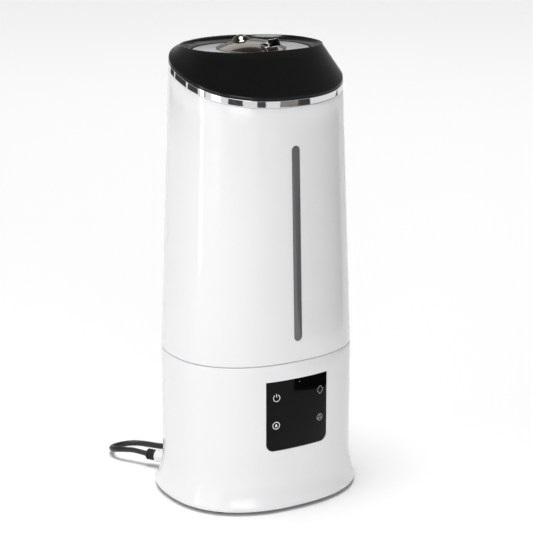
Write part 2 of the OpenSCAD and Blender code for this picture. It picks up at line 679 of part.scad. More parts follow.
module mist_duct() color("gainsboro") translate([0, mist_y, bottom_z]) {
    tube(duct_r, duct_bore_r, seat_low - bottom_z - fit_gap);
    translate([0, 0, bottom_t + seal_t + 2 * fit_gap]) tube(duct_r + 4, duct_bore_r, 2);
}
module duct_seal() color("black") translate([0, mist_y, bottom_z + bottom_t + fit_gap])
    tube(duct_r + 4, duct_r + turn_gap, seal_t);
module tank_roof() color("whitesmoke") difference() {
    plan_plate(half_w(roof_z + roof_t) - tank_wall - fit_gap, half_d(roof_z + roof_t) - tank_wall - fit_gap, 0,
               roof_z, roof_t);
    translate([0, mist_y, roof_z - over]) cylinder(r = duct_r + fit_gap, h = roof_t + 2 * over);
}
module chrome_band() color("silver")
    ring_loop([tilted_ring(band_z + fit_gap, -band_proud), tilted_ring(band_z + band_h, -band_proud),
               tilted_ring(band_z + band_h, band_in), tilted_ring(band_z + fit_gap, band_in)]);
module top_collar() color([0.08, 0.08, 0.09])
    ring_loop([tilted_ring(band_z + band_h + fit_gap, 0), tilted_ring(shoulder_z, 0),
               oval_ring(rim_a, rim_b, mist_y, rim_z - 1), oval_ring(rim_a - 0.5, rim_b - 0.5, mist_y, rim_z),
               oval_ring(rim_a - rim_edge, rim_b - rim_edge, mist_y, rim_z),
               oval_ring(plate_a + groove_w + ledge_w, plate_b + groove_w + ledge_w, mist_y, dish_z + 0.6),
               oval_ring(plate_a + groove_w, plate_b + groove_w, mist_y, dish_z + 0.6),
               oval_ring(plate_a + groove_w, plate_b + groove_w, mist_y, collar_floor + collar_t),
               oval_ring(seat_r + fit_gap, seat_r + fit_gap, mist_y, collar_floor + collar_t),
               oval_ring(seat_r + fit_gap, seat_r + fit_gap, mist_y, collar_floor),
               oval_ring(plate_a, plate_b, mist_y, collar_floor),
               oval_ring(rim_a - 3, rim_b - 3, mist_y, rim_z - 6), tilted_ring(shoulder_z, wall_in),
               tilted_ring(band_z + band_h + fit_gap, wall_in)]);
module dish_plate() color("silver") difference() {
    plan_plate(plate_a, plate_b, mist_y, dish_z - plate_t, plate_t);
    translate([0, mist_y, dish_z - plate_t - over]) cylinder(r = stub_r + 1, h = plate_t + 2 * over);
}
module nozzle_seat() color("dimgray") translate([0, mist_y, seat_low]) {
    tube(seat_r, stub_r + turn_gap, seat_h + collar_t);
}

// ---- Nozzle --------------------------------------------------------------------------------

module dome_ball_at(inset) {
    translate([0, 0, dome_base + dome_h - dome_ball]) sphere(r = dome_ball - inset, $fn = 96);
}
module at_spout() {
    rotate([0, 0, spout_angle]) translate([spout_at, 0, dome_base + dome_h / 2]) rotate([0, -spout_tilt, 0])
        children();
}
module nozzle_dome() color("silver") translate([0, mist_y, 0]) difference() {
    union() {
        difference() {
            intersection() {
                union() {
                    dome_ball_at(0);
                    rotate([0, 0, knob_angle]) translate([knob_at, 0, knob_top - knob_r])
                        sphere(r = knob_r, $fn = 48);
                }
                translate([0, 0, dome_base]) cylinder(r = dome_r, h = 2 * knob_r);
            }
            intersection() {
                dome_ball_at(dome_wall);
                translate([0, 0, dome_base - over]) cylinder(r = dome_r - dome_wall, h = dome_h + over);
            }
        }
        // The stub that turns in the seat
        intersection() {
            dome_ball_at(dome_wall / 2);
            translate([0, 0, dome_base - stub_h]) cylinder(r = stub_r, h = stub_h + dome_h);
        }
    }
    intersection() {
        dome_ball_at(dome_wall);
        translate([0, 0, dome_base - stub_h - over]) cylinder(r = stub_r - stub_wall, h = stub_h + dome_h + over);
    }
    at_spout() cube([spout_len + over, spout_w + 2 * fit_gap, spout_h + 2 * fit_gap], center = true);
}
module nozzle_spout() color("black") translate([0, mist_y, 0]) intersection() {
    at_spout() difference() {
        cube([spout_len, spout_w, spout_h], center = true);
        cube([spout_len + 2 * over, spout_w - 2 * spout_wall, spout_h - 2 * spout_wall], center = true);
    }
    translate([0, 0, dome_base + 0.2]) cylinder(r = dome_r + 4, h = 20);
}

// ---- Filler cap and valve ------------------------------------------------------------------

module filler_cap() color("dodgerblue") translate([side_x, mist_y, 0]) difference() {
    union() {
        translate([0, 0, cap_low]) cylinder(r = cap_out, h = bottom_z - 0.8 - cap_low);
        for (i = [0 : rib_count - 1]) rotate([0, 0, 360 * i / rib_count])
            translate([cap_out - 0.5, -0.8, cap_low]) cube([1.3, 1.6, bottom_z - 0.8 - cap_low]);
        translate([0, 0, cap_low]) cylinder(r = cage_r, h = cage_top - cap_low);
    }
    // Between the skirt and the cage, where the neck sits
    translate([0, 0, cap_floor]) tube(cap_in, cage_r, bottom_z - cap_floor);
    // Inside the cage
    translate([0, 0, cap_floor]) cylinder(r = cage_r - cage_wall, h = cage_top - cage_bridge - cap_floor);
    for (a = [0, 60, 120]) rotate([0, 0, a]) translate([-cage_r - over, -5, cap_floor + over])
        cube([2 * (cage_r + over), 10, cage_top - cage_bridge - cap_floor - over]);
    for (i = [0 : 5]) rotate([0, 0, 60 * i + 30]) translate([water_hole_at, 0, cap_low - over])
        cylinder(r = water_hole_r, h = cap_floor_t + 2 * over);
    translate([0, 0, cap_low - over]) cylinder(r = stem_r + turn_gap, h = cage_top - cap_low + 2 * over);
}
module cap_gasket() color("black") translate([side_x, mist_y, cap_floor + fit_gap / 2])
    tube(neck_out, cage_r + fit_gap, gasket_t - fit_gap);
module valve_plunger() color("white") translate([side_x, mist_y, 0]) {
    translate([0, 0, stem_low]) cylinder(r = stem_r, h = cage_top + 2 - stem_low);
    translate([0, 0, seal_z + valve_seal_t + fit_gap / 2]) cylinder(r = spring_r - spring_wire - 0.6, h = 1);
}
module valve_seal() color("black") translate([side_x, mist_y, seal_z])
    tube(valve_seal_r, stem_r + turn_gap / 2, valve_seal_t);
module valve_spring() color("silver") {
    steps = 10;
    sweep_tube([for (i = [0 : spring_turns * steps]) let (a = 360 * i / steps)
        [side_x + spring_r * cos(a), mist_y + spring_r * sin(a),
         spring_low + (spring_high - spring_low) * i / (spring_turns * steps)]], spring_wire, 6);
}

base_housing();
bottom_cover();
cover_screws();
rubber_feet();
tray_floor();
tray_wall();
tray_posts();
transducer_body();
transducer_disc();
transducer_seal();
heat_sink();
float_post();
valve_pin();
fan_housing();
fan_motor();
fan_impeller();
air_duct();
power_board();
control_board();
display_module();
touch_panel();
cord_gland();
strain_relief();
power_cord();
cord_coil();
cord_tail();
cord_tie();
plug_body();
plug_pins();
tray_float();
tank_shell();
tank_bottom();
tank_spigot();
filler_neck();
mist_hood();
tank_roof();
mist_duct();
duct_seal();
water_window();
chrome_band();
top_collar();
dish_plate();
nozzle_seat();
nozzle_dome();
nozzle_spout();
filler_cap();
cap_gasket();
valve_plunger();
valve_seal();
valve_spring();
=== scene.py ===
import math
import bmesh
import bpy
from mathutils import Matrix, Vector


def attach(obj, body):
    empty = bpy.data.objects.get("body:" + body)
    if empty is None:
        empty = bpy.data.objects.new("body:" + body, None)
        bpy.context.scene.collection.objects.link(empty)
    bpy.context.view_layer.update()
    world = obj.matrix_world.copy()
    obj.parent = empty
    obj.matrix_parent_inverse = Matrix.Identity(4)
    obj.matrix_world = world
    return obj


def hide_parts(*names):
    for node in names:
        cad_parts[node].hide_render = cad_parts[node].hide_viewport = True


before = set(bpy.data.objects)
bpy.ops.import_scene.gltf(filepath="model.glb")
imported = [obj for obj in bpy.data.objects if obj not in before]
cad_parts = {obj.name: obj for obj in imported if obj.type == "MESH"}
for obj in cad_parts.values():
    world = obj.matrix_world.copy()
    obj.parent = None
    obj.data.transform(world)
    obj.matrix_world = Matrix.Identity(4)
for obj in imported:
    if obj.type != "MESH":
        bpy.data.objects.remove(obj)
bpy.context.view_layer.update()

# ---- Camera -------------------------------------------------------------------------------------
# A long lens a little above the table, in front of the humidifier and to its left. It looks down slightly, at
# the middle of the humidifier's height.

azimuth, elevation, distance = math.radians(-31.92), math.radians(15.24), 1.6145
aim = Vector((0.0081, -0.0051, 0.2118))
bpy.ops.object.camera_add(location=aim + distance * Vector((
    math.sin(azimuth) * math.cos(elevation), -math.cos(azimuth) * math.cos(elevation), math.sin(elevation))))
camera = bpy.context.object
camera.rotation_euler = (aim - camera.location).to_track_quat("-Z", "Y").to_euler()
camera.data.lens = 117.8
camera.data.sensor_width = 36.0
bpy.context.scene.camera = camera

# ---- Mains lead ---------------------------------------------------------------------------------
# A round lead, 5 mm thick. It leaves the strain relief in a low arch, turns back behind the base and lies in a
# neat coil of four layers, with the plug beside it.
# PVC: a satin black skin, faintly wavy from the extruder.

MM = 0.001


def colour(code):
    """An sRGB hex colour as linear RGBA."""
    parts = [int(code[i:i + 2], 16) / 255 for i in (1, 3, 5)]
    return [c / 12.92 if c <= 0.04045 else ((c + 0.055) / 1.055) ** 2.4 for c in parts] + [1.0]


def add_node(material, kind, settings=(), links=()):
    """One shader node, with its properties or socket values and its links from other nodes' sockets."""
    node = material.node_tree.nodes.new(kind)
    for name, value in dict(settings).items():
        if isinstance(name, int) or name in node.inputs:
            node.inputs[name].default_value = value
        else:
            setattr(node, name, value)
    for name, source in dict(links).items():
        material.node_tree.links.new(source, node.inputs[name])
    return node


def surface(name, code, roughness, grain, depth, spread=0.05, shade=0.06, stretch=(1, 1, 1), **values):
    """A finish with its grain's size and depth in mm, its roughness's spread and its colour's variation."""
    material = bpy.data.materials.new(name)
    material.use_nodes = True
    shader = material.node_tree.nodes["Principled BSDF"]
    shader.inputs["Metallic"].default_value = values.pop("metallic", 0.0)
    for socket, value in values.items():
        shader.inputs[socket.replace("_", " ").title().replace("Ior", "IOR")].default_value = value
    place = add_node(material, "ShaderNodeTexCoord")
    along = add_node(material, "ShaderNodeMapping", {"Scale": stretch}, {"Vector": place.outputs["Object"]})
    fine = add_node(material, "ShaderNodeTexNoise", {"Scale": 1 / (grain * MM), "Detail": 3.0},
                    {"Vector": along.outputs["Vector"]})
    patch = 24 * MM
    broad = add_node(material, "ShaderNodeTexNoise", {"Scale": 1 / patch, "Detail": 2.0},
                     {"Vector": along.outputs["Vector"]})
    reach = {"From Min": 0.3, "From Max": 0.7, "To Min": roughness - spread, "To Max": roughness + spread}
    rough = add_node(material, "ShaderNodeMapRange", reach, {"Value": broad.outputs["Fac"]})
    tint = add_node(material, "ShaderNodeMix", {"data_type": "RGBA"}, {"Factor": fine.outputs["Fac"]})
    base = colour(code)
    colour_a, colour_b = tint.inputs[6], tint.inputs[7]
    colour_a.default_value = [c * (1 - shade) for c in base[:3]] + [1.0]
    colour_b.default_value = [min(1.0, c * (1 + shade)) for c in base[:3]] + [1.0]
    bump = add_node(material, "ShaderNodeBump", {"Strength": 1.0, "Distance": depth * MM},
                    {"Height": fine.outputs["Fac"]})
    links = material.node_tree.links
    links.new(tint.outputs[2], shader.inputs["Base Color"])
    links.new(rough.outputs["Result"], shader.inputs["Roughness"])
    links.new(bump.outputs["Normal"], shader.inputs["Normal"])
    return material


def finished(piece, material, slot, body, *nodes, angle=35):
    """Gives a piece its material and shading, hangs it on its body's empty, and hides the nodes of model.glb
    that it stands for.
    """
    bpy.ops.object.select_all(action="DESELECT")
    piece.select_set(True)
    bpy.context.view_layer.objects.active = piece
    piece.data.materials.clear()
    piece.data.materials.append(material)
    if piece.type == "MESH":
        bpy.ops.object.shade_smooth_by_angle(angle=math.radians(angle))
    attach(piece, body)
    if nodes:
        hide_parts(*nodes)
    return piece


pvc = surface("extruded_pvc", "#141414", 0.42, grain=1.6, depth=0.02, spread=0.07, shade=0.2, ior=1.53)

cord_d = 5 * MM
gland_angle = math.radians(122)
gland_point = Vector((-50, 56, 12)) * MM
outward = Vector((math.cos(gland_angle), math.sin(gland_angle), 0))
relief_end = gland_point + outward * 40 * MM
cord_route = [(-75, 96, 12.6), (-79, 103, 12.8), (-83, 109.5, 12), (-87, 117, 10.5), (-88.5, 124.5, 8.5),
              (-87, 133, 6.5), (-82, 140.5, 4.6), (-74.5, 145.5, 3.2), (-65.5, 147, 2.6), (-56.5, 144.5, 2.5),
              (-49.5, 138.5, 2.5), (-44, 131, 2.5), (-38.5, 123.5, 2.5), (-32, 117, 2.5), (-23.5, 112.5, 2.5),
              (-14, 110.5, 2.5), (0, 110.5, 2.5), (12, 110.5, 2.5), (24, 110.5, 2.5)]
tail_route = [(44, 110.5, 17.4), (56, 110.5, 16), (68, 110.5, 12.3), (80, 110.5, 8.6), (90, 110.5, 7)]
coil_at = Vector((36, 142, 0)) * MM
coil_out = 31.5 * MM
layer_sweep, rise_sweep, layers = 555, 100, 4   # degrees along each layer, and up to the next one


def coil_points(step=15):
    """The coil's turns: each layer runs in or out by a lead's thickness a turn, and the next lies on it."""
    points = []
    for swept in range(0, layers * layer_sweep + (layers - 1) * rise_sweep + 1, step):
        layer, past = divmod(swept, layer_sweep + rise_sweep)
        wound = cord_d * min(past, layer_sweep) / 360
        climb = max(0.0, (past - layer_sweep) / rise_sweep)
        climb = climb * climb * (3 - 2 * climb)
        span = cord_d * layer_sweep / 360
        radius = coil_out - (wound if layer % 2 == 0 else span - wound)
        turn = math.radians(swept - 90)
        points.append(coil_at + Vector((radius * math.cos(turn), radius * math.sin(turn),
                                        cord_d * (0.5 + layer + climb))))
    return points


path = [relief_end] + [Vector(p) * MM for p in cord_route]
path += coil_points() + [Vector(p) * MM for p in tail_route]
lead_curve = bpy.data.curves.new("mains_lead", "CURVE")
lead_curve.dimensions = "3D"
lead_curve.bevel_depth = cord_d / 2
lead_curve.bevel_resolution = 5
lead_curve.resolution_u = 4
lead_curve.use_fill_caps = True
spline = lead_curve.splines.new("BEZIER")
spline.bezier_points.add(len(path) - 1)
for knot, point in zip(spline.bezier_points, path):
    knot.co = point
    knot.handle_left_type = knot.handle_right_type = "AUTO"
mains_lead = bpy.data.objects.new("mains_lead", lead_curve)
bpy.context.collection.objects.link(mains_lead)
finished(mains_lead, pvc, "cord_pvc", "base", "power_cord", "cord_coil", "cord_tail")

# ---- Strain relief and cord gland ---------------------------------------------------------------
# The relief is matt black moulded rubber with three ribs for grip, and tapers down to the lead. It sits in a
# glossy white ABS gland with a rounded mouth, which screws into the skirt at the back left corner.


def squared(value, power):
    return math.copysign(abs(value) ** (2 / power), value)


def raised(name, rings, points=72, power=2.0, solid=True):
    """A form raised ring by ring, each ring being (height, half width, half depth, y of its middle) in mm.
    A solid one is extruded from a filled outline, and an open one from its edge."""
    bpy.ops.object.select_all(action="DESELECT")
    bpy.ops.mesh.primitive_circle_add(vertices=points, radius=1.0, fill_type="NGON" if solid else "NOTHING")
    piece = bpy.context.object
    piece.name = piece.data.name = name
    z, across, deep, y = rings[0]
    for v in piece.data.vertices:
        v.co = Vector((across * squared(v.co.x, power), deep * squared(v.co.y, power) + y, z)) * MM
    bpy.ops.object.mode_set(mode="EDIT")
    bpy.ops.mesh.select_all(action="SELECT")
    for z_next, across_next, deep_next, y_next in rings[1:]:
        bpy.ops.mesh.extrude_region_move(
            TRANSFORM_OT_translate={"value": (0, (y_next - y) * MM, (z_next - z) * MM)})
        bpy.ops.transform.resize(value=(across_next / across, deep_next / deep, 1),
                                 center_override=(0, y_next * MM, z_next * MM))
        z, across, deep, y = z_next, across_next, deep_next, y_next
    bpy.ops.mesh.select_all(action="SELECT")
    bpy.ops.mesh.normals_make_consistent(inside=False)
    bpy.ops.object.mode_set(mode="OBJECT")
    return piece


def round_rings(profile):
    """Rings of a turned piece from its (height, radius) profile."""
    return [(z, r, r, 0) for z, r in profile]


def placed(piece, at, turn=(0, 0, 0)):
    """Turns and moves a piece to its place, and leaves its object at the origin."""
    bpy.ops.object.select_all(action="DESELECT")
    piece.select_set(True)
    bpy.context.view_layer.objects.active = piece
    piece.location = at
    piece.rotation_euler = turn
    bpy.ops.object.transform_apply(location=True, rotation=True, scale=True)
    return piece


rubber = surface("moulded_rubber", "#191919", 0.62, grain=0.5, depth=0.03, spread=0.06, shade=0.2, ior=1.52)
white_abs = surface("gloss_white_abs", "#f1f1f2", 0.13, grain=3.0, depth=0.0015, spread=0.02, shade=0.006,
                    ior=1.54)

facing_out = (0, math.pi / 2, gland_angle)
ribs = []
rib_pitch = 3.0
for rib in range(3):
    low = 12 + rib_pitch * rib
    ribs += [(low, 4.0), (low + 0.2, 5.0), (low + 0.5, 5.3)]
    ribs += [(low + 1.5, 5.3), (low + 1.8, 5.0), (low + 2.0, 4.0)]
relief = raised("strain_relief_boot", round_rings(
    [(0, 4.3), (11.2, 4.3)] + ribs + [(20.4, 3.6), (21.4, 3.3), (21.9, 2.9), (22, 2.6)]), points=48)
placed(relief, gland_point + outward * 18 * MM, facing_out)
finished(relief, rubber, "rubber", "base", "strain_relief")

gland = raised("cord_gland_boss", round_rings(
    [(0, 5.8), (19.4, 5.8), (20.3, 5.6), (20.8, 5.2), (21, 4.8), (20.4, 4.55), (12, 4.55)]), points=64)
placed(gland, gland_point + outward * 8 * MM, facing_out)
finished(gland, white_abs, "white_plastic", "base", "cord_gland")

# ---- Plug, its pins and the tie -----------------------------------------------------------------
# A flat two-pin plug moulded over the lead in PVC, with nickel-plated brass pins: a warm, bright grey. A nylon
# hook-and-loop strap, matt and woven, holds the coil's turns together.


def modified(piece, kind, **settings):
    """Adds one modifier to a piece and applies it."""
    bpy.ops.object.select_all(action="DESELECT")
    piece.select_set(True)
    bpy.context.view_layer.objects.active = piece
    modifier = piece.modifiers.new(kind.lower(), kind)
    for name, value in settings.items():
        setattr(modifier, name, value)
    bpy.ops.object.modifier_apply(modifier=modifier.name)
    return piece


def joined(pieces):
    """Joins pieces into the first of them."""
    bpy.ops.object.select_all(action="DESELECT")
    for piece in pieces:
        piece.select_set(True)
    bpy.context.view_layer.objects.active = pieces[0]
    bpy.ops.object.join()
    return pieces[0]


plug_rings = [(0, 3.2, 3.2, 0), (2, 3.5, 3.5, 0), (8, 4.2, 4.4, 0), (14, 5.4, 5.6, 0), (19, 6.4, 8.4, 0),
              (25, 6.7, 13.2, 0), (31, 6.8, 16.6, 0), (34, 6.8, 17.3, 0), (44.5, 6.8, 17.3, 0),
              (45.6, 6.4, 16.9, 0), (46, 5.7, 16.2, 0)]
plug = raised("mains_plug", plug_rings, points=64, power=2.8)
plug_at = Vector((90, 110.5, 6.8)) * MM
facing_right = (0, math.pi / 2, 0)
placed(plug, plug_at, facing_right)
finished(plug, pvc, "cord_pvc", "base", "plug_body")

nickel = surface("nickel_plated_brass", "#c9c4b8", 0.22, grain=0.8, depth=0.004, spread=0.05, shade=0.05,
                 metallic=1.0)
pin_apart = 18.6
pins = []
for side in (-1, 1):
    pin = raised("plug_pin", round_rings([(0, 2.0), (17.6, 2.0), (18.5, 1.6), (19, 0.9)]), points=32)
    placed(pin, plug_at + Vector((45.9, pin_apart / 2 * side, 0)) * MM, facing_right)
    pins.append(pin)
finished(joined(pins), nickel, "pin_metal", "base", "plug_pins")

nylon = surface("woven_nylon", "#202022", 0.8, grain=0.6, depth=0.12, spread=0.08, shade=0.35, ior=1.53)
tie = raised("lead_tie", [(-4.5, 10.45, 6.7, 0), (4.5, 10.45, 6.7, 0)], points=64, power=5.0, solid=False)
modified(tie, "SOLIDIFY", thickness=0.9 * MM, offset=1.0)
placed(tie, coil_at + Vector((0, 27.6, 11.4)) * MM, facing_right)
finished(tie, nylon, "fan_plastic", "base", "cord_tie")

# ---- Base housing -------------------------------------------------------------------------------
# The lower casing is one moulded shell whose foot flares out into a skirt, more at the back than at the front.
# Its front has a pocket for the touch panel, and its back left corner a hole for the gland.
# White ABS: high gloss, with the faint unevenness of a polished mould.

seam_z, seam_half_w, seam_half_d = 140, 89, 73
squareness = 2.35   # 2 is an ellipse, and a larger number is nearer to a rectangle


def outline(half_w, half_d, y, z, power=squareness, count=192):
    """One level ring of a rounded-square outline, in mm."""
    turns = [2 * math.pi * k / count for k in range(count)]
    return [(half_w * squared(math.cos(t), power), half_d * squared(math.sin(t), power) + y, z) for t in turns]


def lofted(name, rings, closed=False, capped=False):
    """A skin extruded from ring to ring. A closed one returns to its first ring; a capped one ends in faces."""
    bpy.ops.object.select_all(action="DESELECT")
    end = "NGON" if capped else "NOTHING"
    bpy.ops.mesh.primitive_circle_add(vertices=len(rings[0]), radius=1.0, fill_type=end)
    piece = bpy.context.object
    piece.name = piece.data.name = name
    for v, point in zip(piece.data.vertices, rings[0]):
        v.co = Vector(point) * MM
    bpy.ops.object.mode_set(mode="EDIT")
    bpy.ops.mesh.select_all(action="SELECT")
    ring = list(range(len(rings[0])))
    for points in rings[1:] + (rings[:1] if closed else []):
        bpy.ops.mesh.extrude_region_move()
        form = bmesh.from_edit_mesh(piece.data)
        form.verts.ensure_lookup_table()
        form.verts.index_update()
        for k, point in enumerate(points):
            old = form.verts[ring[k]]
            new = next(e.other_vert(old) for e in old.link_edges if e.other_vert(old).select)
            new.co = Vector(point) * MM
            ring[k] = new.index
        bmesh.update_edit_mesh(piece.data)
    bpy.ops.mesh.select_all(action="SELECT")
    bpy.ops.mesh.remove_doubles(threshold=0.002 * MM)
    bpy.ops.mesh.normals_make_consistent(inside=False)
    bpy.ops.object.mode_set(mode="OBJECT")
    return piece


def skirt(z, inset, at=None):
    """A ring of the base's wall at height z, in from its outline."""
    flare = 0.0 if z >= 43 else (1 - max(0.0, z - 7) / 36) ** 2.4
    half_w, half_d = seam_half_w + 5.5 * flare - inset, seam_half_d + 9.25 * flare - inset
    return outline(half_w, half_d, 2.25 * flare, z if at is None else at)


def front_y(x):
    """The front wall's y at x."""
    return -seam_half_d * (1 - (abs(x) / seam_half_w) ** squareness) ** (1 / squareness)


def box(name, low, high):
    """A block between two corners, in mm."""
    bpy.ops.object.select_all(action="DESELECT")
    size = Vector(high) - Vector(low)
    bpy.ops.mesh.primitive_cube_add(size=1.0, location=(Vector(low) + size / 2) * MM, scale=size * MM)
    bpy.context.object.name = name
    bpy.ops.object.transform_apply(location=True, rotation=True, scale=True)
    return bpy.context.object


def cut(piece, cutter):
    """Cuts one solid's shape out of a piece."""
    modified(piece, "BOOLEAN", operation="DIFFERENCE", solver="EXACT", object=cutter)
    bpy.data.objects.remove(cutter)
    return piece


def front_slab(name, half, low, top, corner, outer, inner):
    """A slab that follows the front wall, with round lower corners, from outer to inner behind the wall."""
    piece = box(name, (-half, outer, low), (half, inner, top))
    bpy.ops.object.mode_set(mode="EDIT")
    bpy.ops.mesh.select_all(action="DESELECT")
    form = bmesh.from_edit_mesh(piece.data)
    for edge in form.edges:
        a, b = (v.co / MM for v in edge.verts)
        edge.select_set(abs(a.x - b.x) < 0.01 and abs(a.z - b.z) < 0.01 and a.z < low + 0.01)
    bmesh.update_edit_mesh(piece.data)
    bpy.ops.mesh.bevel(offset=corner * MM, segments=12, affect="EDGES")
    for cut_at in range(-30, 31, 2):   # strips, so that the slab can bend with the wall
        bpy.ops.mesh.select_all(action="SELECT")
        bpy.ops.mesh.bisect(plane_co=(cut_at * MM, 0, 0), plane_no=(1, 0, 0))
    bpy.ops.object.mode_set(mode="OBJECT")
    for v in piece.data.vertices:
        v.co.y += front_y(v.co.x / MM) * MM
    return piece


outer_wall = [(3, 2.5), (3.2, 1.6), (3.7, 0.9), (4.6, 0.3), (5.8, 0.05)] + [(z, 0) for z in (
    7, 8.5, 10, 12, 14, 16.5, 19, 22, 25, 28.5, 32, 36, 40, 43, 70, 100, 125, 138.6)] + [
    (139.2, 0.1), (139.55, 0.35), (139.7, 0.8)]
inner_wall = [(139.7, 2.7)] + [(z, 3) for z in (139.4, 110, 80, 43, 36, 28, 21, 14, 10, 7)]
housing_rings = [skirt(z, inset) for z, inset in outer_wall + inner_wall] + [skirt(7, 3, at=3)]
housing = lofted("base_housing_shell", housing_rings, closed=True)
cut(housing, front_slab("pocket", 32.7, 57.8, 124.2, 7.2, -2, 1.5))
cut(housing, box("display_opening", (-14.2, -76, 89.8), (14.2, -60, 112.2)))
gland_hole = raised("gland_hole", round_rings([(-1, 6.0), (34, 6.0)]), points=64)
placed(gland_hole, gland_point, facing_out)
cut(housing, gland_hole)
finished(housing, white_abs, "white_plastic", "base", "base_housing")

# ---- Touch panel --------------------------------------------------------------------------------
# A gloss black acrylic panel, curved with the front wall, with square upper corners and round lower ones. Its
# signs are printed over touch areas: power and mist on the left, night and fan on the right, in grey ink.
# Acrylic: a deep black mirror-like skin. The ink is matt and slightly uneven.

acrylic = surface("gloss_black_acrylic", "#070708", 0.06, grain=4.0, depth=0.0006, spread=0.015, shade=0.1,
                  ior=1.49, specular_ior_level=0.12)
panel = front_slab("touch_panel_glass", 32.5, 58, 124, 7, 0, 1.3)
modified(panel, "BEVEL", width=0.35 * MM, segments=3, limit_method="ANGLE", angle_limit=math.radians(60))
finished(panel, acrylic, "black_plastic", "base", "touch_panel", angle=40)

light_ink = surface("light_grey_ink", "#e9e9ea", 0.5, grain=0.2, depth=0.004, spread=0.05, shade=0.1)
dim_ink = surface("dim_grey_ink", "#a2a2a6", 0.5, grain=0.2, depth=0.004, spread=0.05, shade=0.1)


def sign(name, ink, lines, at, thick=0.5):
    """Printed lines on the panel: each is a list of points (right, up) in mm about the sign's middle."""
    curve = bpy.data.curves.new(name, "CURVE")
    curve.dimensions = "3D"
    curve.bevel_depth = thick / 2 * MM
    curve.bevel_resolution = 1
    for points in lines:
        line = curve.splines.new("POLY")
        line.points.add(len(points) - 1)
        for knot, (right, up) in zip(line.points, points):
            knot.co = ((at[0] + right) * MM, 0, (at[1] + up) * MM, 1)
    piece = bpy.data.objects.new(name, curve)
    bpy.context.collection.objects.link(piece)
    bpy.ops.object.select_all(action="DESELECT")
    piece.select_set(True)
    bpy.context.view_layer.objects.active = piece
    bpy.ops.object.convert(target="MESH")
    piece = bpy.context.object
    ink_share = 0.2   # the drawn tube is pressed flat to a film of ink
    for v in piece.data.vertices:
        v.co.y = v.co.y * ink_share + (front_y(v.co.x / MM) + 0.02) * MM
    return finished(piece, ink, "black_plastic", "base")


def arc(radius, start, end, right=0.0, up=0.0):
    """Points on an arc, in steps of about 12 degrees."""
    steps = max(4, int(abs(end - start) / 12))
    angles = [math.radians(start + (end - start) * k / steps) for k in range(steps + 1)]
    return [(right + radius * math.cos(a), up + radius * math.sin(a)) for a in angles]


drop = [(0, 1.5)] + arc(0.75, 30, -210, 0, -0.5) + [(0, 1.5)]
sign("power_sign", light_ink, [arc(3.2, 118, 422), [(0, 0.7), (0, 4.0)]], (-22.6, 108.6), thick=0.8)
mist_at = (-23.0, 82.4)
sign("mist_sign", light_ink, [arc(3.3, 0, 360)], mist_at, thick=0.85)
sign("mist_drop", light_ink, [drop, [(0, 0.9), (0, -1.0)]], mist_at, thick=0.8)
petals = []
for side in range(4):
    facing = side * math.pi / 2
    petals += arc(1.55, 90 * side - 70, 90 * side + 70, 1.75 * math.cos(facing), 2.1 * math.sin(facing))
sign("night_sign", dim_ink, [petals + petals[:1]], (24.5, 108.2), thick=0.6)
thirds = (math.pi / 2, -math.pi / 6, -5 * math.pi / 6)
blades = [arc(0.75, 0, 360, 1.6 * math.cos(a), 1.6 * math.sin(a)) for a in thirds]
sign("fan_sign", dim_ink, [arc(3.2, 0, 360)] + blades, (24.3, 81.6), thick=0.6)
sign("sensor_mark", dim_ink, [[(-0.5, 0), (0.5, 0)]], (1.2, 120.6), thick=0.6)

# ---- Rubber feet --------------------------------------------------------------------------------
# Four round feet of soft rubber are pressed into recesses of the bottom cover, each with a rounded edge on the
# floor. They are the same matt black rubber as the strain relief.

feet = []
for x, y in ((-66, -45), (66, -45), (-66, 45), (66, 45)):
    foot = raised("foot", round_rings([(0, 5.9), (0.15, 6.5), (0.5, 6.85), (1.0, 7.0), (4.0, 7.0)]), points=64)
    placed(foot, Vector((x, y, 0)) * MM)
    feet.append(foot)
joined(feet).name = "soft_feet"
finished(feet[0], rubber, "rubber", "base", "rubber_feet")

# ---- Works of the base --------------------------------------------------------------------------
# In the casing are the bottom cover with its screws, the polypropylene tray with its float, pin and transducer,
# the fan in its duct, and two circuit boards. Each moulding has softly broken edges. The plastics differ in
# gloss and tint, and the metals in the direction of their grain.

natural_pp = surface("natural_polypropylene", "#e6e7e4", 0.3, grain=1.2, depth=0.01, shade=0.02,
                     ior=1.49, subsurface_weight=0.15, subsurface_scale=0.002)
grey_abs = surface("textured_grey_abs", "#63656a", 0.5, grain=0.35, depth=0.03, shade=0.06, ior=1.54)
fan_nylon = surface("black_glass_filled_nylon", "#1d1e20", 0.48, grain=0.3, depth=0.02, shade=0.2, ior=1.53)
steel = surface("zinc_plated_steel", "#b4b5b3", 0.3, grain=0.5, depth=0.01, shade=0.1, metallic=1.0)
aluminium = surface("extruded_aluminium", "#c3c5c8", 0.34, grain=0.5, depth=0.02, shade=0.1,
                    stretch=(1, 0.05, 1), metallic=1.0)
brass = surface("turned_brass", "#b08d4a", 0.28, grain=0.6, depth=0.01, shade=0.12, stretch=(1, 1, 0.1),
                metallic=1.0)
laminate = surface("green_solder_resist", "#1f5a3c", 0.3, grain=1.8, depth=0.03, spread=0.1, shade=0.3,
                   ior=1.55)
display_glass = surface("dark_display_epoxy", "#0d0e12", 0.15, grain=2.0, depth=0.003, shade=0.2, ior=1.5)
eva_foam = surface("orange_eva_foam", "#d9722e", 0.75, grain=0.5, depth=0.12, shade=0.15, ior=1.48)


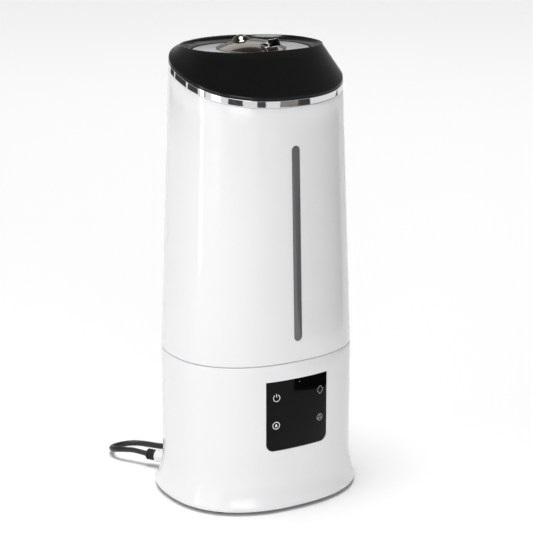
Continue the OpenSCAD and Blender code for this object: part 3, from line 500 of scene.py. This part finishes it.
def softened(node, material, slot, body, width=0.35):
    """A copy of the frame's node as one clean moulding, with its sharp edges broken by a width in mm."""
    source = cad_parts[node]
    piece = bpy.data.objects.new(node + "_part", source.data.copy())
    bpy.context.collection.objects.link(piece)
    bpy.ops.object.select_all(action="DESELECT")
    piece.select_set(True)
    bpy.context.view_layer.objects.active = piece
    bpy.ops.object.mode_set(mode="EDIT")
    bpy.ops.mesh.select_all(action="SELECT")
    bpy.ops.mesh.remove_doubles(threshold=0.003 * MM)
    bpy.ops.mesh.dissolve_limited(angle_limit=math.radians(0.5))
    bpy.ops.mesh.normals_make_consistent(inside=False)
    bpy.ops.object.mode_set(mode="OBJECT")
    modified(piece, "BEVEL", width=width * MM, segments=2, limit_method="ANGLE",
             angle_limit=math.radians(42), use_clamp_overlap=True)
    return finished(piece, material, slot, body, node, angle=38)


softened("bottom_cover", grey_abs, "grey_plastic", "base")
softened("cover_screws", steel, "steel", "base", 0.15)
softened("tray_floor", natural_pp, "natural_plastic", "base")
softened("tray_wall", natural_pp, "natural_plastic", "base", 0.6)
softened("tray_posts", natural_pp, "natural_plastic", "base")
softened("transducer_body", brass, "brass", "base")
softened("transducer_disc", steel, "steel", "base", 0.15)
softened("transducer_seal", rubber, "rubber", "base", 0.2)
softened("heat_sink", aluminium, "aluminium", "base", 0.2)
softened("float_post", natural_pp, "natural_plastic", "base", 0.3)
softened("valve_pin", natural_pp, "natural_plastic", "base", 0.3)
softened("tray_float", eva_foam, "float_foam", "float", 0.8)
softened("fan_housing", fan_nylon, "fan_plastic", "base", 0.3)
softened("fan_motor", grey_abs, "grey_plastic", "base", 0.2)
softened("fan_impeller", fan_nylon, "fan_plastic", "fan", 0.2)
softened("air_duct", grey_abs, "grey_plastic", "base")
softened("power_board", laminate, "circuit_board", "base", 0.2)
softened("control_board", laminate, "circuit_board", "base", 0.15)
softened("display_module", display_glass, "display", "base", 0.2)

# ---- Tank ---------------------------------------------------------------------------------------
# The tank's shell is one tall moulding in the same gloss white ABS, slightly narrower towards the top. There it
# is cut on a forward slope for the chrome band. A slot in its front holds the water window.

slope = math.tan(math.radians(16.5))
tank_rise, taper_w, taper_d = 278, 11, 9


def tank_half(z):
    """The tank's half width and half depth at height z, in mm."""
    risen = (z - seam_z) / tank_rise
    return seam_half_w - taper_w * risen, seam_half_d - taper_d * risen


def wall(z, inset, lean=0.0):
    """A ring of the tank's wall, in from its outline. With a lean, the ring rises to the back."""
    points = []
    for across, back, _ in outline(1, 1, 0, 0):
        height = z + lean * tank_half(z)[1] * back
        half_w, half_d = tank_half(height)
        points.append(((half_w - inset) * across, (half_d - inset) * back, height))
    return points


def slot_ring(width, low, top, y):
    """An upright round-ended slot's outline."""
    half = width / 2
    turns = [2 * math.pi * (k + 0.5) / 48 for k in range(48)]
    return [(half * math.cos(t), y, half * math.sin(t) + (top - half if math.sin(t) > 0 else low + half))
            for t in turns]


tank_t = 2.4
levels = (170, 205, 240, 275, 310, 340)
tank_rings = [wall(140.3, 0.8), wall(140.45, 0.35), wall(140.8, 0.1), wall(141.4, 0)]
tank_rings += [wall(z, 0) for z in levels]
tank_rings += [wall(366, 0, slope * 0.5), wall(389.6, 0, slope)]
tank_rings += [wall(390, 0.1, slope), wall(390.2, 0.4, slope)]
tank_rings += [wall(390.2, tank_t, slope), wall(366, tank_t, slope * 0.5)]
tank_rings += [wall(z, tank_t) for z in levels[::-1] + (140.7,)] + [wall(140.3, 2.0)]
tank = lofted("tank_shell_body", tank_rings, closed=True)
window_low, window_tall = 159, 178
window_foot = Vector((0, -tank_half(window_low)[1], window_low)) * MM
wall_lean = (-math.atan(taper_d / tank_rise), 0, 0)
slot_cutter = lofted("window_slot", [slot_ring(8.6, 0, window_tall, y) for y in (-3, 5)], capped=True)
placed(slot_cutter, window_foot, wall_lean)
cut(tank, slot_cutter)
finished(tank, white_abs, "white_plastic", "tank", "tank_shell")

# ---- Water window -------------------------------------------------------------------------------
# A narrow round-ended pane of polycarbonate, welded into the slot a hair below the wall's face.
# Smoked polycarbonate: clear grey with a soft gloss, and the tank's dim inside shows through it.

smoked = surface("smoked_polycarbonate", "#6b6b6e", 0.12, grain=3.0, depth=0.002, spread=0.03, shade=0.05,
                 ior=1.585, transmission_weight=0.15)
pane_rings = [slot_ring(8.2, 0.2, 177.8, 2.2), slot_ring(8.2, 0.2, 177.8, 0.6),
              slot_ring(7.9, 0.35, 177.65, 0.25), slot_ring(7.2, 0.7, 177.3, 0.12)]
window = lofted("water_window_pane", pane_rings, capped=True)
placed(window, window_foot, wall_lean)
finished(window, smoked, "smoked_plastic", "tank", "water_window")

# ---- Chrome band --------------------------------------------------------------------------------
# A thin band of chrome-plated ABS runs round the tank on the same forward slope, a little proud of the wall.
# Chrome plating: a cool mirror with hardly any haze.

chrome = surface("chrome_plating", "#e3e4e6", 0.045, grain=6.0, depth=0.0006, spread=0.012, shade=0.01,
                 metallic=1.0)
band_profile = [(390.4, 0.1), (390.5, -0.16), (390.75, -0.3), (390.95, -0.3), (396.05, -0.3), (396.25, -0.3),
                (396.5, -0.16), (396.6, 0.1), (396.6, 2.0), (390.4, 2.0)]
band = lofted("chrome_band_ring", [wall(z, inset, slope) for z, inset in band_profile], closed=True)
finished(band, chrome, "chrome_trim", "tank", "chrome_band")

# ---- Collar -------------------------------------------------------------------------------------
# The collar rises from the sloping band to a level oval rim that sits towards the back. Inside the rim its wall
# runs down to a narrow ledge, with a groove round the dish.
# Black ABS: a deep gloss, softer than the panel's.

black_abs = surface("gloss_black_abs", "#101011", 0.17, grain=2.5, depth=0.0015, spread=0.03, shade=0.1,
                    ior=1.54, specular_ior_level=0.3)
top_y = 8


def between(first, second, share):
    """A ring part of the way from the first to the second."""
    return [tuple(Vector(a).lerp(Vector(b), share)) for a, b in zip(first, second)]


def oval(half_w, z):
    """A level ring of the top's outline, 11.5 mm less in half depth than in half width."""
    return outline(half_w, half_w - 11.5, top_y, z)


def disc(radius, z):
    """A level circle round the nozzle's axis."""
    return outline(radius, radius, top_y, z, power=2.0)


low_knee, corner, rim_foot = wall(398.6, 0, slope), wall(399.2, 0, slope), oval(65, 417)
high_knee = between(corner, rim_foot, 0.03)
knee = [between(between(low_knee, corner, s), between(corner, high_knee, s), s)
        for s in (0.25, 0.5, 0.75)]
collar_rings = [wall(396.8, 0.3, slope), wall(397.1, 0, slope), low_knee] + knee + [high_knee]
collar_rings += [between(high_knee, rim_foot, s) for s in (0.2, 0.4, 0.6, 0.8, 1.0)]
rim_profile = [(64.93, 417.45), (64.7, 417.8), (64.3, 418), (63.9, 417.95), (63.5, 417.7), (63.2, 417.3),
               (58.5, 414.2), (58.2, 414.1), (55.1, 414.1), (54.85, 414.0), (54.8, 413.7), (54.8, 411.7)]
collar_rings += [oval(half_w, z) for half_w, z in rim_profile]
collar_rings += [disc(20, 411.7), disc(20, 409.5), oval(53.6, 409.5), oval(62, 412)]
collar_rings += [wall(399.2, 2.6, slope), wall(396.8, 2.6, slope)]
collar = lofted("top_collar_ring", collar_rings, closed=True)
finished(collar, black_abs, "black_plastic", "tank", "top_collar")

# ---- Dish plate ---------------------------------------------------------------------------------
# A satin silver plate lies in the rim's well, round the nozzle, with its edge turned down.
# Brushed aluminium: pressed from sheet, with a fine grain that runs from side to side.

brushed = surface("brushed_aluminium", "#e4e5e6", 0.38, grain=0.35, depth=0.004, spread=0.04, shade=0.03,
                  stretch=(0.03, 1, 1), metallic=1.0)
dish_rings = [oval(53.6, 411.9), oval(53.6, 413.1), oval(53.45, 413.4), oval(53.1, 413.5),
              disc(15.7, 413.5), disc(15.4, 413.2), disc(15.4, 411.9)]
dish = lofted("dish_plate_sheet", dish_rings, closed=True)
finished(dish, brushed, "nozzle_metal", "tank", "dish_plate")

# ---- Nozzle -------------------------------------------------------------------------------------
# A low chromed dome that turns in the dish. A round hump opposite the mouth is its finger grip, and the mist
# leaves through a black rectangular spout with a chrome frame.
# Warm chrome: a tinted plating over ABS, slightly hazier than the band's.

warm_chrome = surface("warm_chrome_plating", "#958f85", 0.12, grain=5.0, depth=0.001, spread=0.02, shade=0.02,
                      metallic=1.0)
spout_turn = math.radians(-75)
grip_turn = math.radians(147)
grip = 9 * Vector((math.cos(grip_turn), math.sin(grip_turn)))
outer_ball, inner_ball, ball_z = 72.02, 70.42, 349.38


def dome_ring(radius, ball, hump=False, count=128):
    """A ring of the dome on a ball of that radius. With the hump, it rises over the grip with a soft foot."""
    points = []
    for k in range(count):
        x, y = radius * math.cos(2 * math.pi * k / count), radius * math.sin(2 * math.pi * k / count)
        z = ball_z + math.sqrt(ball * ball - radius * radius)
        away = (Vector((x, y)) - grip).length
        if hump and away < 14:
            rise = 417 + math.sqrt(9 ** 2 - away * away) - z if away < 8.9 else -3.0
            near = max(0.0, 3.0 - abs(rise)) / 3.0
            z += max(rise, 0.0) + 0.75 * near * near * (1 - max(0.0, away - 11) / 3)
        points.append((x, y + top_y, z))
    return points


def turned(radius, z, count=128):
    """A level ring of the dome's skirt and sleeve."""
    turns = [2 * math.pi * k / count for k in range(count)]
    return [(radius * math.cos(t), radius * math.sin(t) + top_y, z) for t in turns]


dome_rings = [dome_ring(r, inner_ball) for r in (0.4, 6, 12.8)]
sleeve = [(12.8, 410), (12.8, 402.2), (13.1, 401.9), (14.1, 401.9), (14.4, 402.2), (14.4, 410)]
dome_rings += [turned(r, z) for r, z in sleeve] + [dome_ring(r, inner_ball) for r in (14.4, 21)]
dome_rings += [turned(28.2, 413.9), turned(31.7, 413.9), turned(31.93, 413.97)]
outside = (31.8, 30.5, 28.5, 26.5, 24.5, 22.5, 21, 19.8, 18.9, 18.2, 17.5, 16.8, 16.1, 15.4, 14.6, 13.8,
           13, 12, 11, 10, 9, 8, 7, 6, 5, 4, 3, 2, 1, 0.4)
dome_rings += [dome_ring(r, outer_ball, hump=True) for r in outside]
dome = lofted("nozzle_dome_shell", dome_rings, capped=True)
spout_place = Vector((21 * math.cos(spout_turn), 21 * math.sin(spout_turn) + top_y, 417.65)) * MM
spout_axes = Matrix.Rotation(spout_turn, 4, "Z") @ Matrix.Rotation(math.radians(-24), 4, "Y")


def spout_ring(width, height, along):
    """A ring of the spout's rounded rectangle, at a distance along its axis."""
    return [(along, across, up) for across, up, _ in outline(width / 2, height / 2, 0, 0, power=7, count=96)]


def at_spout(piece):
    """Moves a piece to the spout's place on the dome."""
    return placed(piece, spout_place, spout_axes.to_euler())


opening = lofted("spout_opening", [spout_ring(14.2, 6.7, along) for along in (-4, 12)], capped=True)
cut(dome, at_spout(opening))
finished(dome, warm_chrome, "nozzle_metal", "nozzle", "nozzle_dome")

frame_rings = [(14.2, 6.6, -1), (15.2, 7.5, -1), (15.2, 7.5, 7.5), (15.0, 7.3, 7.8), (14.6, 6.9, 7.95),
               (14.1, 6.5, 7.8), (14.1, 6.5, 7.0)]
spout_frame = at_spout(lofted("spout_frame", [spout_ring(*ring) for ring in frame_rings], closed=True))
finished(spout_frame, chrome, "nozzle_metal", "nozzle")

spout_rings = [(14.0, 6.4, -1), (14.0, 6.4, 7.2), (13.4, 5.9, 7.4), (11.6, 4.1, 6.8), (11.6, 4.1, -1)]
spout = at_spout(lofted("spout_mouth", [spout_ring(*ring) for ring in spout_rings], closed=True))
finished(spout, black_abs, "black_plastic", "nozzle", "nozzle_spout")

# ---- Works of the tank --------------------------------------------------------------------------
# In and under the tank are its polypropylene bottom with the spigot, filler neck and mist hood, the mist duct
# with its seals, and the blue filler cap with the spring valve that the tray's pin opens.
# The duct is polycarbonate, clear as glass, and the cap is polypropylene with a soft gloss.

clear_pc = surface("clear_polycarbonate", "#dfe6e8", 0.08, grain=3.0, depth=0.002, spread=0.02, shade=0.01,
                   ior=1.585, transmission_weight=0.8)
blue_pp = surface("blue_polypropylene", "#2f6fb0", 0.32, grain=0.8, depth=0.01, shade=0.05, ior=1.49)
softened("tank_bottom", natural_pp, "natural_plastic", "tank")
softened("tank_spigot", natural_pp, "natural_plastic", "tank", 0.5)
softened("filler_neck", natural_pp, "natural_plastic", "tank", 0.4)
softened("mist_hood", natural_pp, "natural_plastic", "tank", 0.4)
softened("tank_roof", natural_pp, "natural_plastic", "tank")
softened("mist_duct", clear_pc, "clear_plastic", "tank", 0.3)
softened("duct_seal", rubber, "rubber", "tank", 0.3)
softened("nozzle_seat", grey_abs, "grey_plastic", "tank", 0.3)
softened("filler_cap", blue_pp, "cap_plastic", "cap", 0.3)
softened("cap_gasket", rubber, "rubber", "cap", 0.2)
softened("valve_plunger", natural_pp, "natural_plastic", "valve", 0.3)
softened("valve_seal", rubber, "rubber", "valve", 0.3)
softened("valve_spring", steel, "steel", "valve", 0.05)

# ---- Studio -------------------------------------------------------------------------------------
# White matt paper under a soft overhead light, with a softbox and a strip at the left, one softbox in front and
# two behind. Dark cards on the floor are there for the chrome to mirror, and a flag shades the right side.

paper = surface("white_paper", "#fbfbfb", 0.9, grain=2.0, depth=0.005, shade=0.004)
bpy.ops.object.select_all(action="DESELECT")
bpy.ops.mesh.primitive_plane_add(size=40.0, location=(0, 0, 0))
floor = bpy.context.object
floor.name = "floor"
floor.data.materials.append(paper)
card = surface("dark_card", "#1c1b1a", 0.8, grain=2.0, depth=0.01, shade=0.1)
grey_card = surface("grey_card", "#8d8781", 0.8, grain=2.0, depth=0.01, shade=0.1)
card_away, card_deep = 3.4, 1.8
for bearing, width, board in ((-88, 1.5, card), (-118, 1.5, card), (-145, 1.2, card), (-166, 0.8, card),
                              (-34.5, 1.5, card), (1.5, 0.62, card), (27, 0.66, grey_card), (38, 0.56, card)):
    bpy.ops.mesh.primitive_plane_add(size=1.0, location=(0, 0, 0))
    sheet = bpy.context.object
    sheet.name = "card"
    sheet.scale = (width, card_deep, 1)
    angle = math.radians(bearing)
    sheet.location = (card_away * math.sin(angle), -card_away * math.cos(angle), 0.004)
    sheet.rotation_euler = (0, 0, angle)
    sheet.data.materials.append(board)
bpy.ops.mesh.primitive_plane_add(size=1.0, location=(0.47, -0.29, 0.15),
                                 rotation=(math.pi / 2, 0, math.radians(58)))
flag = bpy.context.object
flag.name = "right_flag"
flag.scale = (0.7, 0.3, 1)
flag.data.materials.append(card)


def softbox(name, at, width, height, power):
    """A rectangular area light aimed at the middle of the humidifier."""
    light = bpy.data.lights.new(name, "AREA")
    light.shape = "RECTANGLE"
    light.size, light.size_y = width, height
    light.energy = power
    lamp = bpy.data.objects.new(name, light)
    bpy.context.collection.objects.link(lamp)
    lamp.location = at
    lamp.rotation_euler = (Vector((0, 0, 0.2)) - Vector(at)).to_track_quat("-Z", "Y").to_euler()


softbox("left_softbox", (-1.55, -0.45, 0.5), 0.9, 1.0, 2.4)
softbox("front_softbox", (-0.8, -1.72, 0.8), 1.1, 0.8, 8.5)
softbox("left_strip", (-1.2, 0.1, 0.4), 0.14, 0.8, 1.4)
softbox("back_right_softbox", (1.05, 0.74, 1.9), 0.3, 0.8, 1.2)
softbox("back_softbox", (1.3, 2.1, 2.1), 1.8, 1.2, 5)
sun = bpy.data.lights.new("overcast_sky", "SUN")
sun.energy = 2.45
sun.angle = math.radians(30)
sky = bpy.data.objects.new("overcast_sky", sun)
bpy.context.collection.objects.link(sky)
sky.rotation_euler = (0, math.radians(-3), 0)
world = bpy.data.worlds.new("dim_studio")
world.use_nodes = True
direction = add_node(world, "ShaderNodeTexCoord")
height = add_node(world, "ShaderNodeSeparateXYZ", {}, {"Vector": direction.outputs["Generated"]})
fading = {"From Min": 0.25, "From Max": 0.85, "To Min": 0.34, "To Max": 0.05}
dim = add_node(world, "ShaderNodeMapRange", fading, {"Value": height.outputs["Z"]})
background = world.node_tree.nodes["Background"]
world.node_tree.links.new(dim.outputs["Result"], background.inputs["Strength"])
background.inputs["Color"].default_value = (1, 1, 1, 1)
bpy.context.scene.world = world
bpy.context.scene.view_settings.view_transform = "Standard"
